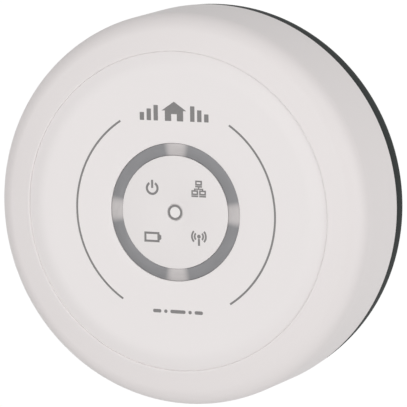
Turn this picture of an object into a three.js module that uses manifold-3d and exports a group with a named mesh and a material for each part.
// A round wall-mounted home gateway with rechargeable back-up cells, as an assembly of its separate pieces.
// Millimetres. Every piece is drawn in a front view: x to the right, y up, z out from the wall towards the room.
// The last lines turn the whole assembly so that +Z is up and the front faces -Y; the wall is the plane y = 0.
import * as THREE from "three";
import { mergeVertices } from "three/addons/utils/BufferGeometryUtils.js";
import Module from "manifold-3d";

const wasm = await Module();
wasm.setup();

// ---- Driving dimensions ----
const DEPTH = 52.5; // wall to face
const BODY_RADIUS = 84.9; // white cover, where it meets the dark base
const BASE_RADIUS = BODY_RADIUS - 0.2; // dark base at the same joint; it tapers towards the wall
const GAP = 0.3; // between pieces that rest on each other

const SHOULDER_RADIUS = 8.9; // rounding between the front and the side wall
const SHOULDER_CENTRE = [75.6, DEPTH - 11.2];
const FRONT_SLOPE = (10.3 * Math.PI) / 180; // fall of the front between the seam and the shoulder
const WALL = 2.3; // shell thickness
const SEAM_RADIUS = 68.5;
const SEAM_WIDTH = 0.3;
const FLAT_RADIUS = 59; // the face is flat inside this radius and rolls off outside it
const EDGE_SLOPE = (14 * Math.PI) / 180; // slope of the face disc at its edge
const LEDGE_FRONT = 49.9; // ledge inside the cover that carries the face disc
const LEDGE_RADIUS = 62;
const LEDGE_THICKNESS = 2;

const BASE_BACK = 0.5; // the base stands this far off the wall
const BASE_FRONT = 10.2; // height of the dark band
const LIP_FRONT = 13.5; // top of the lip that centres the cover on the base
const RECESS_RADIUS = 56.5; // round recess in the back that takes the wall bracket
const FLOOR_BACK = 5.6;
const FLOOR_FRONT = 7.8;

const BRACKET_RADIUS = 50;
const BRACKET_THICKNESS = 2.2;
const COLLAR = { inner: 46, outer: 48.5 }; // upright rim of the bracket
const LUG = { inner: 46.5, outer: 54.5, back: 3.1, front: 4.9, halfAngle: 9 };
const LUG_STOP = { inner: 50.3, back: 1.2, front: 4.4, from: -13, to: -10 }; // degrees from the lug's middle
const THIRDS = [90, 210, 330]; // angles of whatever stands in threes
const LIP = { inner: 50.6, back: 0.9, front: 2.6 }; // ledges of the base that hook behind the lugs
const FIXING_SPACING = 60; // screw distance of a wall box
const FIXING = { slotRadius: 2.3, mouthRadius: 4.4, mouthY: -6, slotTop: 0, upperHalfLength: 5 };
const CABLE_WINDOW = { halfWidth: 15, bottom: -34, top: -14 };

const RING_OUTER = 29.57;
const RING_INNER = 24.3;
const RING_RECESS = 0.3; // the metal ring lies this far below the face
const SEAT_Z = 50.7; // ledge that carries the ring and the lens
const BUTTON_RADIUS = 3.4;
const BUTTON_FLANGE = 49.6; // back of the flange that keeps the button in
const BUTTON_TRAVEL = 0.5;
const ICON_X = 10.5;
const ICON_Y = 10.2;

const MAIN_BOARD = { z: 26, thickness: 1.6, radius: 60, flatY: -57 };
const INDICATOR_BOARD = { z: 40, thickness: 1.6, radius: 38 };
const COVER_SCREW_RADIUS = 75.5;
const COVER_SCREW_ANGLES = [45, 135, 225, 315];
const COVER_SCREW_HEAD = 3; // depth of the hole that takes the head
const BOARD_POST_RADIUS = 52;
const BOARD_POST_ANGLES = [40, 140, 220, 320];
const INDICATOR_POST_RADIUS = 34.5;
const HEADER = { halfWidth: 6.5, bottom: -19.7, top: -14.5, height: 3.1 };
const CAN_HEIGHT = 3;
const ANTENNA = { x: 49.5, thickness: 1, bottom: -22, top: 18, height: 10 };
const RIBBON = { width: 10, thickness: 0.4, low: 29.5, high: 38.1, bendY: -26, endY: -20 };
const LED = { halfWidth: 1.6, halfHeight: 1.4, depth: 1.9 };

const CELL_RADIUS = 7.1; // AA size
const CELL_LENGTH = 50.5;
const CELL_PITCH = 14.8;
const CELL_Z = 15.6;
const NUB_LENGTH = 1.3;
const SPRING_LENGTH = 4.4;
const PLATE_THICKNESS = 0.5;
const TAB_HALF_WIDTH = 2; // solder tabs of the end plates, through slits in the roof of the bay
const BAY = { halfWidth: 30, bottom: -27.5, top: 30.5, roof: 23.2, wall: 3 };
const DOOR_BACK = 5.8;
const DOOR_FRONT = 7.4;
const DOOR_TRAVEL = 9;
const DOOR_TONGUES = [[-20, -12], [10, 18]]; // bottom and top of each tongue
const TONGUE_BACK = 6.6;
const VENTS = { lastX: 24, pitch: 8, y: 68.5, halfLength: 5, radius: 1.1 };
const CABLE_NOTCH = { halfWidth: 9, front: 7.2 };

const SOCKET_FACE_Y = -58.2; // mouths of the sockets
const PLUG_RECESS = { halfWidth: 30, top: -58.5, radius: 78.6, roof: 22.3, wall: 1.8 };
const ETHERNET = { x: -13, halfWidth: 8, length: 21, z0: 12.2, z1: 25.7, depth: 13 };
const ETHERNET_HOLE = { halfWidth: 6, z0: 15, z1: 22.9, latchHalfWidth: 3, latchZ: 13.4 };
const POWER = { x: 11, halfWidth: 4.5, length: 14, z0: 14.7, z1: 25.7, holeRadius: 3.1, depth: 11 };
const RESET = { x: 24, z: 20, holeRadius: 1.5, halfWidth: 3, back: -55.9, front: -50 };

const LARGE = 48; // sides of the big turned pieces
const MEDIUM = 32;
const SMALL = 16;
const TINY = 10;

// ---- Materials ----
function material(color, roughness, metalness) {
  return new THREE.MeshStandardMaterial({ color, roughness, metalness });
}
const WHITE = material(0xe7e3e2, 0.45, 0);
const LENS_WHITE = material(0xe5e2e1, 0.3, 0);
const DARK = material(0x383e3c, 0.6, 0);
const STEEL = material(0x8c8c8e, 0.35, 1);
const BLACK = material(0x1c1d1e, 0.7, 0);
const BOARD_GREEN = material(0x1d5a3a, 0.5, 0);
const LED_CLEAR = material(0xd8dccf, 0.2, 0);
const SHIELD_TIN = material(0xb9babb, 0.35, 1);
const CONTACT_NICKEL = material(0xc9c7c0, 0.3, 1);
const CELL_SLEEVE = material(0x5f8f5a, 0.4, 0);
const RIBBON_WHITE = material(0xdcdcd8, 0.5, 0);

// ---- Solids ----
// A closed three.js geometry as a manifold-3d solid with its faces pointing out.
function solid(geometry) {
  const bare = geometry.clone();
  bare.deleteAttribute("normal");
  bare.deleteAttribute("uv");
  const merged = mergeVertices(bare, 1e-4);
  const corners = merged.index.array;
  const faces = [];
  for (let i = 0; i < corners.length; i += 3) {
    const [a, b, c] = [corners[i], corners[i + 1], corners[i + 2]];
    if (a !== b && b !== c && c !== a) faces.push([a, b, c]);
  }
  const build = (list) =>
    new wasm.Manifold(
      new wasm.Mesh({
        numProp: 3,
        vertProperties: Float32Array.from(merged.attributes.position.array),
        triVerts: Uint32Array.from(list.flat()),
      }),
    );
  const made = build(faces);
  if (made.volume() > 0) return made;
  return build(faces.map(([a, b, c]) => [a, c, b]));
}

function geometryOf(made) {
  const mesh = made.getMesh();
  const geometry = new THREE.BufferGeometry();
  geometry.setAttribute("position", new THREE.BufferAttribute(mesh.vertProperties, 3));
  geometry.setIndex(new THREE.BufferAttribute(mesh.triVerts, 1));
  geometry.computeVertexNormals();
  return geometry;
}

const joined = (list) => list.reduce((a, b) => a.add(b));
const cut = (body, list) => list.reduce((a, b) => a.subtract(b), body);

// A box between two corners.
function box([x0, y0, z0], [x1, y1, z1]) {
  const geometry = new THREE.BoxGeometry(x1 - x0, y1 - y0, z1 - z0);
  geometry.translate((x0 + x1) / 2, (y0 + y1) / 2, (z0 + z1) / 2);
  return solid(geometry);
}

// A round rod along z.
function rod(radius, z0, z1, [x, y] = [0, 0], sides = SMALL) {
  const geometry = new THREE.CylinderGeometry(radius, radius, z1 - z0, sides);
  geometry.rotateX(Math.PI / 2);
  geometry.translate(x, y, (z0 + z1) / 2);
  return solid(geometry);
}

// A round rod along y.
function rodAlongY(radius, y0, y1, [x, z], sides = SMALL) {
  const geometry = new THREE.CylinderGeometry(radius, radius, y1 - y0, sides);
  geometry.translate(x, (y0 + y1) / 2, z);
  return solid(geometry);
}

// A solid of revolution about z, from its closed outline of [radius, z] points.
function turned(outline, sides = LARGE) {
  const points = [...outline, outline[0]].map(([radius, z]) => new THREE.Vector2(radius, z));
  const geometry = new THREE.LatheGeometry(points, sides);
  geometry.rotateX(Math.PI / 2);
  return solid(geometry);
}

// The points of an arc from one angle to another, in radians.
function arcPoints([cx, cy], radius, from, to, steps) {
  return Array.from({ length: steps + 1 }, (_, i) => {
    const angle = from + ((to - from) * i) / steps;
    return [cx + radius * Math.cos(angle), cy + radius * Math.sin(angle)];
  });
}

// A flat outline of [x, y] points, raised from z0 to z1.
function raised(outline, z0, z1) {
  const shape = new THREE.Shape(outline.map(([x, y]) => new THREE.Vector2(x, y)));
  const geometry = new THREE.ExtrudeGeometry(shape, { depth: z1 - z0, bevelEnabled: false });
  geometry.translate(0, 0, z0);
  return solid(geometry);
}

const radians = (degrees) => (degrees * Math.PI) / 180;

// A piece of a flat ring between two radii and two angles in degrees.
function sector(inner, outer, from, to, z0, z1) {
  const steps = 4;
  const outside = arcPoints([0, 0], outer, radians(from), radians(to), steps);
  const inside = arcPoints([0, 0], inner, radians(to), radians(from), steps);
  return raised([...outside, ...inside], z0, z1);
}

// A slot with round ends along x or y.
function slot([x, y], halfLength, radius, z0, z1, alongY = false) {
  const right = arcPoints([halfLength, 0], radius, -Math.PI / 2, Math.PI / 2, 5);
  const left = arcPoints([-halfLength, 0], radius, Math.PI / 2, (3 * Math.PI) / 2, 5);
  const outline = [...right, ...left].map(([u, v]) => (alongY ? [x - v, y + u] : [x + u, y + v]));
  return raised(outline, z0, z1);
}

const onCircle = (radius, degrees) => [
  radius * Math.cos(radians(degrees)),
  radius * Math.sin(radians(degrees)),
];

// ---- Wall bracket ----
function wallBracket() {
  const plate = rod(BRACKET_RADIUS, 0, BRACKET_THICKNESS, [0, 0], LARGE);
  const rimBack = BRACKET_THICKNESS / 2;
  const rim = turned([
    [COLLAR.inner, rimBack], [COLLAR.outer, rimBack], [COLLAR.outer, LUG.front], [COLLAR.inner, LUG.front],
  ]);
  const body = [plate, rim];
  for (const angle of THIRDS) {
    const stop = [angle + LUG_STOP.from, angle + LUG_STOP.to];
    body.push(sector(LUG.inner, LUG.outer, stop[0], angle + LUG.halfAngle, LUG.back, LUG.front));
    body.push(sector(LUG_STOP.inner, LUG.outer, ...stop, LUG_STOP.back, LUG_STOP.front));
  }
  const through = [-1, BRACKET_THICKNESS + 1];
  const half = FIXING_SPACING / 2;
  const cuts = [slot([0, half], FIXING.upperHalfLength, FIXING.slotRadius, ...through)];
  const keyholeMiddle = (FIXING.mouthY + FIXING.slotTop) / 2;
  const keyholeHalf = (FIXING.slotTop - FIXING.mouthY) / 2;
  for (const x of [-half, half]) {
    cuts.push(rod(FIXING.mouthRadius, ...through, [x, FIXING.mouthY]));
    cuts.push(slot([x, keyholeMiddle], keyholeHalf, FIXING.slotRadius, ...through, true));
  }
  const { halfWidth, bottom, top } = CABLE_WINDOW;
  cuts.push(box([-halfWidth, bottom, through[0]], [halfWidth, top, through[1]]));
  return cut(joined(body), cuts);
}

// ---- Rear housing ----
// Turned shell of the base: the dark band, the lip inside the cover, and the recess round the bracket.
function baseShell() {
  const lipRadius = BODY_RADIUS - WALL - 0.35;
  const wallInside = BODY_RADIUS - 4.4;
  const flangeFront = BASE_BACK + 2.2;
  const recessOutside = RECESS_RADIUS + 2.2;
  const middle = 20;
  const cup = turned([
    [BASE_RADIUS - 1.2, BASE_BACK], [BASE_RADIUS - 0.5, 1.6], [BASE_RADIUS - 0.25, 3.7], [BASE_RADIUS, BASE_FRONT],
    [lipRadius, BASE_FRONT], [lipRadius, LIP_FRONT], [wallInside, LIP_FRONT], [wallInside, flangeFront],
    [recessOutside, flangeFront], [recessOutside, FLOOR_FRONT],
    [middle, FLOOR_FRONT], [middle, FLOOR_BACK], [RECESS_RADIUS, FLOOR_BACK], [RECESS_RADIUS, BASE_BACK],
  ]);
  return cup.add(rod(middle + 5, FLOOR_BACK, FLOOR_FRONT, [0, 0], MEDIUM));
}

// The bay of the cells, with a deeper pocket above it for the door at the end of its travel.
function batteryBay() {
  const { halfWidth, bottom, top, roof, wall } = BAY;
  const skin = 1.6;
  const outer = box(
    [-halfWidth - wall, bottom - skin, FLOOR_BACK],
    [halfWidth + wall, top + skin, roof + 1.4],
  );
  const runOut = box([-halfWidth - 2, top, FLOOR_BACK], [halfWidth + 2, top + DOOR_TRAVEL + 2.5, FLOOR_FRONT + skin]);
  const cuts = [
    box([-halfWidth, bottom, -1], [halfWidth, top, roof]),
    box([-halfWidth, top - 1, -1], [halfWidth, top + DOOR_TRAVEL + 0.5, FLOOR_FRONT]),
    ...doorGrooves(),
  ];
  for (const x of [-CELL_PITCH * 1.5, CELL_PITCH * 1.5]) {
    const slitHalf = TAB_HALF_WIDTH + 0.6;
    cuts.push(box([x - slitHalf, bottom, roof - 1], [x + slitHalf, bottom + 1.3, roof + 2]));
  }
  return { body: [outer, runOut], cuts };
}

// Grooves for the tongues of the battery door, each with a way out at the end of the door's travel.
function doorGrooves() {
  const grooves = [];
  const front = DOOR_FRONT + GAP;
  for (const side of [-1, 1]) {
    const xs = [side * (BAY.halfWidth - 0.2), side * (BAY.halfWidth + 1.2)].sort((a, b) => a - b);
    for (const [y0, y1] of DOOR_TONGUES) {
      grooves.push(box([xs[0], y0 - GAP, TONGUE_BACK - GAP], [xs[1], y1 + DOOR_TRAVEL + GAP, front]));
      grooves.push(box([xs[0], y0 + DOOR_TRAVEL - GAP, FLOOR_BACK - 0.6], [xs[1], y1 + DOOR_TRAVEL + GAP, front]));
    }
  }
  return grooves;
}

// The recess at the bottom of the base that takes the plugs, open to the wall and through the notch in the rim.
function plugRecess() {
  const { halfWidth, top, radius, roof, wall } = PLUG_RECESS;
  const outer = box([-halfWidth - wall, -radius - 4, BASE_BACK], [halfWidth + wall, top + wall, roof + wall]);
  const inner = box([-halfWidth, -radius - 2, -1], [halfWidth, top, roof]);
  const trimmed = (shape, limit) => shape.intersect(rod(limit, -2, roof + 8, [0, 0], LARGE));
  const { halfWidth: notchHalf, front } = CABLE_NOTCH;
  const cuts = [trimmed(inner, radius), box([-notchHalf, -BODY_RADIUS - 1, -1], [notchHalf, -radius + 2, front])];
  for (const socket of [ETHERNET, POWER]) {
    cuts.push(box(
      [socket.x - socket.halfWidth - GAP, top - 1, socket.z0 - GAP],
      [socket.x + socket.halfWidth + GAP, top + wall + 1, socket.z1 + 1],
    ));
  }
  cuts.push(rodAlongY(RESET.holeRadius, top - 1, top + wall + 1, [RESET.x, RESET.z]));
  return { body: [trimmed(outer, radius + 2)], cuts };
}

function rearHousing() {
  const bay = batteryBay();
  const recess = plugRecess();
  const body = [baseShell(), ...bay.body, ...recess.body];
  const cuts = [...bay.cuts, ...recess.cuts];
  for (const angle of COVER_SCREW_ANGLES) {
    const at = onCircle(COVER_SCREW_RADIUS, angle);
    body.push(rod(4.4, BASE_BACK, COVER_SCREW_HEAD + 2, at));
    cuts.push(rod(3.1, -1, COVER_SCREW_HEAD, at), rod(1.7, COVER_SCREW_HEAD - 1, COVER_SCREW_HEAD + 3, at));
  }
  for (const angle of BOARD_POST_ANGLES) {
    const at = onCircle(BOARD_POST_RADIUS, angle);
    body.push(rod(2.8, FLOOR_FRONT - 1, MAIN_BOARD.z - GAP, at));
    cuts.push(rod(1.3, 15, MAIN_BOARD.z + 1, at, TINY));
  }
  for (const angle of THIRDS) {
    const ends = [angle - LUG.halfAngle, angle + LUG.halfAngle];
    body.push(sector(LIP.inner, RECESS_RADIUS + 1, ...ends, LIP.back, LIP.front));
  }
  for (let x = -VENTS.lastX; x <= VENTS.lastX; x += VENTS.pitch) {
    cuts.push(slot([x, VENTS.y], VENTS.halfLength, VENTS.radius, -1, 4, true));
  }
  return cut(joined(body), cuts);
}

// ---- Battery door ----
function batteryDoor() {
  const edge = BAY.halfWidth - 0.4;
  const body = [box([-edge, BAY.bottom + GAP, DOOR_BACK], [edge, BAY.top - GAP, DOOR_FRONT])];
  for (const side of [-1, 1]) {
    const xs = [side * (edge - 1), side * (BAY.halfWidth + 0.9)].sort((a, b) => a - b);
    for (const [y0, y1] of DOOR_TONGUES) {
      body.push(box([xs[0], y0, TONGUE_BACK], [xs[1], y1, DOOR_FRONT]));
    }
  }
  const grip = { halfWidth: 10, y: -23, pitch: 3, height: 1.2, depth: 0.5 };
  const grooves = [0, 1, 2].map((i) => {
    const y = grip.y + i * grip.pitch;
    return box([-grip.halfWidth, y, DOOR_BACK - 1], [grip.halfWidth, y + grip.height, DOOR_BACK + grip.depth]);
  });
  return cut(joined(body), grooves);
}

// ---- Front cover ----
function frontCover() {
  const [cx, cz] = SHOULDER_CENTRE;
  const end = Math.PI / 2 - FRONT_SLOPE;
  const shoulder = arcPoints(SHOULDER_CENTRE, SHOULDER_RADIUS, 0, end, 7);
  const inside = arcPoints(SHOULDER_CENTRE, SHOULDER_RADIUS - WALL, end, 0, 5);
  const [topRadius, topZ] = shoulder[shoulder.length - 1];
  const mouth = SEAM_RADIUS + SEAM_WIDTH / 2;
  const lineZ = (radius) => topZ + (topRadius - radius) * Math.tan(FRONT_SLOPE);
  const ledgeBack = LEDGE_FRONT - LEDGE_THICKNESS;
  const back = BASE_FRONT + GAP;
  const chamfer = 0.3;
  const shell = turned([
    [BODY_RADIUS + 0.02, back], ...shoulder, [mouth + chamfer, lineZ(mouth + chamfer)],
    [mouth, lineZ(mouth) - chamfer], [mouth, LEDGE_FRONT], [LEDGE_RADIUS, LEDGE_FRONT],
    [LEDGE_RADIUS, ledgeBack], [71, ledgeBack], ...inside, [BODY_RADIUS - WALL, back],
  ]);
  const body = [shell];
  const cuts = [];
  for (const angle of COVER_SCREW_ANGLES) {
    const at = onCircle(COVER_SCREW_RADIUS, angle);
    body.push(rod(3.6, COVER_SCREW_HEAD + 2 + GAP, cz + 6.9, at));
    const rib = new THREE.BoxGeometry(5, 1.6, 28);
    rib.translate(cx + 4.5, 0, 30);
    rib.rotateZ(radians(angle));
    body.push(solid(rib));
    cuts.push(rod(1.6, COVER_SCREW_HEAD + 2, 18, at, TINY));
  }
  return cut(joined(body), cuts);
}

// ---- Face disc ----
function faceDisc() {
  const edge = SEAM_RADIUS - SEAM_WIDTH / 2;
  const rollRadius = (edge - 0.2 - FLAT_RADIUS) / Math.sin(EDGE_SLOPE);
  const start = Math.PI / 2;
  const roll = arcPoints([FLAT_RADIUS, DEPTH - rollRadius], rollRadius, start, start - EDGE_SLOPE, 4);
  const edgeZ = roll[roll.length - 1][1];
  const seatRadius = RING_OUTER + GAP;
  const seatInside = 22.5;
  const seatBack = SEAT_Z - 1.5;
  const back = LEDGE_FRONT + GAP;
  const disc = turned([
    [seatInside, seatBack], [seatInside, SEAT_Z], [seatRadius, SEAT_Z], [seatRadius, DEPTH], ...roll,
    [edge, edgeZ - 0.25], [edge, back], [31.5, back], [31.5, seatBack],
  ]);
  const body = [disc];
  const cuts = [];
  const legBack = 45.6;
  const legRadius = LEDGE_RADIUS - 2;
  for (const angle of THIRDS.map((third) => third - 60)) {
    const turnedBox = (radius, thickness, front) => {
      const geometry = new THREE.BoxGeometry(thickness, 8, front - legBack);
      geometry.translate(radius + thickness / 2, 0, (front + legBack) / 2);
      geometry.rotateZ(radians(angle));
      return solid(geometry);
    };
    body.push(turnedBox(legRadius, 1.4, back + 0.1));
    body.push(turnedBox(legRadius + 0.8, 2.4, LEDGE_FRONT - LEDGE_THICKNESS - 0.5));
  }
  const boardFront = INDICATOR_BOARD.z + INDICATOR_BOARD.thickness + GAP;
  for (const angle of THIRDS) {
    const at = onCircle(INDICATOR_POST_RADIUS, angle);
    body.push(rod(2.6, boardFront, back + GAP, at));
    cuts.push(rod(1.1, boardFront - 1, 48.5, at, TINY));
  }
  return cut(joined(body), cuts);
}

function metalRing() {
  const front = DEPTH - RING_RECESS;
  return turned([
    [RING_INNER, SEAT_Z + GAP], [RING_OUTER, SEAT_Z + GAP], [RING_OUTER, front - 0.15],
    [RING_OUTER - 0.15, front], [RING_INNER + 0.15, front], [RING_INNER, front - 0.15],
  ]);
}

function iconLens() {
  const disc = rod(RING_INNER - 0.3, SEAT_Z + GAP, DEPTH, [0, 0], LARGE);
  return cut(disc, [rod(BUTTON_RADIUS + 0.2, 50, DEPTH + 1, [0, 0], MEDIUM)]);
}

// ---- Centre button and its switch ----
function buttonCap() {
  return joined([
    rod(BUTTON_RADIUS, 50.3, DEPTH, [0, 0], MEDIUM),
    rod(4.7, BUTTON_FLANGE, BUTTON_FLANGE + 1),
    rod(1.6, 46.2, BUTTON_FLANGE + 0.4),
  ]);
}

function buttonSwitch() {
  const back = INDICATOR_BOARD.z + INDICATOR_BOARD.thickness + GAP;
  return cut(box([-3.1, -3.1, back], [3.1, 3.1, 44.6]), [rod(1.9, 43.3 - BUTTON_TRAVEL, 46)]);
}

const switchPlunger = () => rod(1.6, 43.6, 45.9);

function lightShield() {
  const back = INDICATOR_BOARD.z + INDICATOR_BOARD.thickness + GAP;
  const body = rod(22, back, SEAT_Z - 0.1, [0, 0], MEDIUM);
  const cuts = [
    rod(5.1, BUTTON_FLANGE - BUTTON_TRAVEL - 0.7, DEPTH),
    rod(2.2, 40, DEPTH),
    box([-3.6, -3.6, 40], [3.6, 3.6, 46.2]),
  ];
  for (const x of [-ICON_X, ICON_X]) {
    for (const y of [-ICON_Y, ICON_Y]) {
      cuts.push(rod(4.6, 40, 52, [x, y]));
    }
  }
  return cut(body, cuts);
}

// ---- Circuit boards ----
function mainBoard() {
  const { z, thickness, radius, flatY } = MAIN_BOARD;
  const disc = rod(radius, z, z + thickness, [0, 0], LARGE);
  const cuts = [box([-radius, -radius - 1, z - 1], [radius, flatY, z + 3])];
  for (const angle of BOARD_POST_ANGLES) {
    cuts.push(rod(1.7, z - 1, z + 3, onCircle(BOARD_POST_RADIUS, angle), TINY));
  }
  return cut(disc, cuts);
}

function indicatorBoard() {
  const { z, thickness, radius } = INDICATOR_BOARD;
  const disc = rod(radius, z, z + thickness, [0, 0], MEDIUM);
  const holes = THIRDS.map((angle) =>
    rod(1.5, z - 1, z + 3, onCircle(INDICATOR_POST_RADIUS, angle), TINY),
  );
  return cut(disc, holes);
}

// A flat cable folded in one loop between its two connectors.
function ribbonCable() {
  const { width, thickness, low, high, bendY, endY } = RIBBON;
  const bend = (high - low) / 2;
  const half = thickness / 2;
  const centre = [bendY, (high + low) / 2];
  const outer = arcPoints(centre, bend + half, Math.PI / 2, (3 * Math.PI) / 2, 10);
  const inner = arcPoints(centre, bend - half, (3 * Math.PI) / 2, Math.PI / 2, 10);
  const outline = [
    [endY, high + half], ...outer, [endY, low - half],
    [endY, low + half], ...inner, [endY, high - half],
  ];
  const shape = new THREE.Shape(outline.map(([y, z]) => new THREE.Vector2(y, z)));
  const geometry = new THREE.ExtrudeGeometry(shape, { depth: width, bevelEnabled: false });
  geometry.translate(0, 0, -width / 2);
  // The outline's first axis becomes y, its second z, and the cable's width lies along x.
  geometry.applyMatrix4(new THREE.Matrix4().set(0, 0, 1, 0, 1, 0, 0, 0, 0, 1, 0, 0, 0, 0, 0, 1));
  return solid(geometry);
}

// ---- Sockets ----
function socketBody({ x, halfWidth, length, z0, z1 }) {
  return box([x - halfWidth, SOCKET_FACE_Y, z0], [x + halfWidth, SOCKET_FACE_Y + length, z1]);
}

function ethernetJack() {
  const { x, depth } = ETHERNET;
  const { halfWidth, z0, z1, latchHalfWidth, latchZ } = ETHERNET_HOLE;
  const ends = [SOCKET_FACE_Y - 1, SOCKET_FACE_Y + depth];
  return cut(socketBody(ETHERNET), [
    box([x - halfWidth, ends[0], z0], [x + halfWidth, ends[1], z1]),
    box([x - latchHalfWidth, ends[0], latchZ], [x + latchHalfWidth, ends[1], z0 + 0.2]),
  ]);
}

const powerAxis = [POWER.x, (POWER.z0 + POWER.z1) / 2];

function powerJack() {
  const hole = rodAlongY(POWER.holeRadius, SOCKET_FACE_Y - 1, SOCKET_FACE_Y + POWER.depth, powerAxis);
  return cut(socketBody(POWER), [hole]);
}

const powerPin = () => rodAlongY(1, SOCKET_FACE_Y + 1.5, SOCKET_FACE_Y + POWER.depth - GAP, powerAxis, TINY);

function resetSwitch() {
  const { x, z, halfWidth, back, front } = RESET;
  const body = box([x - halfWidth, back, z - halfWidth], [x + halfWidth, front, MAIN_BOARD.z - GAP]);
  return cut(body, [rodAlongY(RESET.holeRadius - 0.1, back - 1, back + 1.9, [x, z])]);
}

const resetPlunger = () => rodAlongY(1.1, RESET.back - 2.1, RESET.back + 1.3, [RESET.x, RESET.z]);

// ---- Cells and their contacts ----
// The cell stands along y with its bottom at y = 0 and its positive nub on top.
function cell() {
  const shoulder = CELL_LENGTH - NUB_LENGTH;
  return joined([
    rodAlongY(CELL_RADIUS, 0, shoulder, [0, 0]),
    rodAlongY(2.7, shoulder - 1, CELL_LENGTH, [0, 0], TINY),
  ]);
}

// The envelope of a conical contact spring along y, standing on y = 0.
function contactSpring() {
  const geometry = new THREE.CylinderGeometry(2.2, 4.2, SPRING_LENGTH, TINY);
  geometry.translate(0, SPRING_LENGTH / 2, 0);
  return solid(geometry);
}

function contactPlate(firstX, lastX, y, tab) {
  const reach = 5.5;
  const front = 21.5;
  const plate = box([firstX - reach, y, 9], [lastX + reach, y + PLATE_THICKNESS, front]);
  if (!tab) return plate;
  return plate.add(box(
    [firstX - TAB_HALF_WIDTH, y, front - 0.5],
    [firstX + TAB_HALF_WIDTH, y + PLATE_THICKNESS, MAIN_BOARD.z - GAP],
  ));
}

// ---- Screws, along z, with the underside of the head at z = 0 and the tip towards +z ----
function screw(headRadius, headHeight, shankRadius, length) {
  const head = rod(headRadius, -headHeight, 0, [0, 0], TINY);
  const shank = rod(shankRadius, -0.5, length, [0, 0], 8);
  const reach = headRadius * 0.6;
  const half = 0.3;
  const ends = [-headHeight - 1, -headHeight * 0.4];
  const cross = [
    box([-reach, -half, ends[0]], [reach, half, ends[1]]),
    box([-half, -reach, ends[0]], [half, reach, ends[1]]),
  ];
  return cut(joined([head, shank]), cross);
}

// ---- Assembly ----
const bracket = new THREE.Group();
const hub = new THREE.Group();

function piece(parent, name, shape, finish, place = {}) {
  const mesh = new THREE.Mesh(geometryOf(shape), finish);
  mesh.name = name;
  if (place.at) mesh.position.set(...place.at);
  if (place.turn) mesh.rotation.set(...place.turn);
  parent.add(mesh);
}

piece(bracket, "wall_bracket", wallBracket(), STEEL);

piece(hub, "rear_housing", rearHousing(), DARK);
piece(hub, "front_cover", frontCover(), WHITE);
piece(hub, "face_disc", faceDisc(), WHITE);
piece(hub, "metal_ring", metalRing(), STEEL);
piece(hub, "icon_lens", iconLens(), LENS_WHITE);
piece(hub, "button_cap", buttonCap(), WHITE);
piece(hub, "battery_door", batteryDoor(), DARK);
piece(hub, "light_shield", lightShield(), BLACK);
piece(hub, "button_switch", buttonSwitch(), BLACK);
piece(hub, "switch_plunger", switchPlunger(), BLACK);
piece(hub, "indicator_board", indicatorBoard(), BOARD_GREEN);
piece(hub, "main_board", mainBoard(), BOARD_GREEN);

const boardFront = INDICATOR_BOARD.z + INDICATOR_BOARD.thickness + GAP;
const led = box([-LED.halfWidth, -LED.halfHeight, 0], [LED.halfWidth, LED.halfHeight, LED.depth]);
const ledPlaces = {
  led_power: [-ICON_X, ICON_Y],
  led_network: [ICON_X, ICON_Y],
  led_battery: [-ICON_X, -ICON_Y],
  led_radio: [ICON_X, -ICON_Y],
};
for (const [name, [x, y]] of Object.entries(ledPlaces)) {
  piece(hub, name, led, LED_CLEAR, { at: [x, y, boardFront] });
}

const mainFront = MAIN_BOARD.z + MAIN_BOARD.thickness + GAP;
const canFront = mainFront + CAN_HEIGHT;
piece(hub, "processor_can", box([-36, 4, mainFront], [-8, 32, canFront]), SHIELD_TIN);
piece(hub, "radio_can", box([12, 8, mainFront], [34, 24, canFront]), SHIELD_TIN);
for (const [name, side] of [["antenna_left", -1], ["antenna_right", 1]]) {
  const x = side * ANTENNA.x - ANTENNA.thickness / 2;
  const ends = [[x, ANTENNA.bottom, mainFront], [x + ANTENNA.thickness, ANTENNA.top, mainFront + ANTENNA.height]];
  piece(hub, name, box(...ends), BOARD_GREEN);
}
const header = box([-HEADER.halfWidth, HEADER.bottom, 0], [HEADER.halfWidth, HEADER.top, HEADER.height]);
piece(hub, "main_header", header, RIBBON_WHITE, { at: [0, 0, mainFront] });
const frontHeaderZ = INDICATOR_BOARD.z - GAP - HEADER.height;
piece(hub, "front_header", header, RIBBON_WHITE, { at: [0, 0, frontHeaderZ] });
piece(hub, "ribbon_cable", ribbonCable(), RIBBON_WHITE);

piece(hub, "ethernet_jack", ethernetJack(), SHIELD_TIN);
piece(hub, "power_jack", powerJack(), BLACK);
piece(hub, "power_pin", powerPin(), CONTACT_NICKEL);
piece(hub, "reset_switch", resetSwitch(), BLACK);
piece(hub, "reset_plunger", resetPlunger(), DARK);

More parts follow.
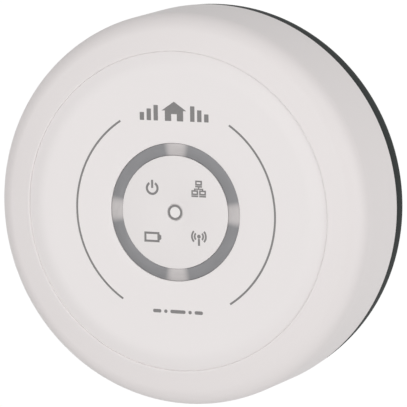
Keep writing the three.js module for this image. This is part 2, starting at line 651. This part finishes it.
// The cells stand in a row with their poles turned up and down in turn, so plates join them in series.
const upright = [0, 0, 0];
const upended = [Math.PI, 0, 0];
const shape = cell();
const spring = contactSpring();
const bottomPlateY = BAY.bottom + GAP;
const topPlateY = BAY.top - GAP - PLATE_THICKNESS;
for (let i = 0; i < 4; i++) {
  const x = (i - 1.5) * CELL_PITCH;
  const nubUp = i % 2 === 0;
  const springY = nubUp ? bottomPlateY + PLATE_THICKNESS + GAP : topPlateY - GAP;
  const direction = nubUp ? 1 : -1;
  const cellY = springY + direction * (SPRING_LENGTH + GAP);
  const turn = nubUp ? upright : upended;
  piece(hub, `battery_spring_${i + 1}`, spring, CONTACT_NICKEL, { at: [x, springY, CELL_Z], turn });
  piece(hub, `battery_cell_${i + 1}`, shape, CELL_SLEEVE, { at: [x, cellY, CELL_Z], turn });
}
const cellX = [0, 1, 2, 3].map((i) => (i - 1.5) * CELL_PITCH);
piece(hub, "contact_plate_top_left", contactPlate(cellX[0], cellX[1], topPlateY, false), CONTACT_NICKEL);
piece(hub, "contact_plate_top_right", contactPlate(cellX[2], cellX[3], topPlateY, false), CONTACT_NICKEL);
piece(hub, "contact_plate_bottom_middle", contactPlate(cellX[1], cellX[2], bottomPlateY, false), CONTACT_NICKEL);
piece(hub, "contact_plate_negative", contactPlate(cellX[0], cellX[0], bottomPlateY, true), CONTACT_NICKEL);
piece(hub, "contact_plate_positive", contactPlate(cellX[3], cellX[3], bottomPlateY, true), CONTACT_NICKEL);

COVER_SCREW_ANGLES.forEach((angle, i) => {
  const [x, y] = onCircle(COVER_SCREW_RADIUS, angle);
  piece(hub, `housing_screw_${i + 1}`, screw(2.75, 1.6, 1.25, 13), STEEL, { at: [x, y, COVER_SCREW_HEAD - GAP] });
});
const fromFront = [Math.PI, 0, 0];
BOARD_POST_ANGLES.forEach((angle, i) => {
  const [x, y] = onCircle(BOARD_POST_RADIUS, angle);
  const at = [x, y, mainFront];
  piece(hub, `board_screw_${i + 1}`, screw(2.3, 1.4, 0.95, 8), STEEL, { at, turn: fromFront });
});
THIRDS.forEach((angle, i) => {
  const [x, y] = onCircle(INDICATOR_POST_RADIUS, angle);
  const at = [x, y, INDICATOR_BOARD.z - GAP];
  piece(hub, `indicator_screw_${i + 1}`, screw(2.1, 1.3, 0.8, 7), STEEL, { at });
});

const gateway = new THREE.Group();
gateway.add(bracket, hub);
gateway.rotation.x = Math.PI / 2;

export default gateway;
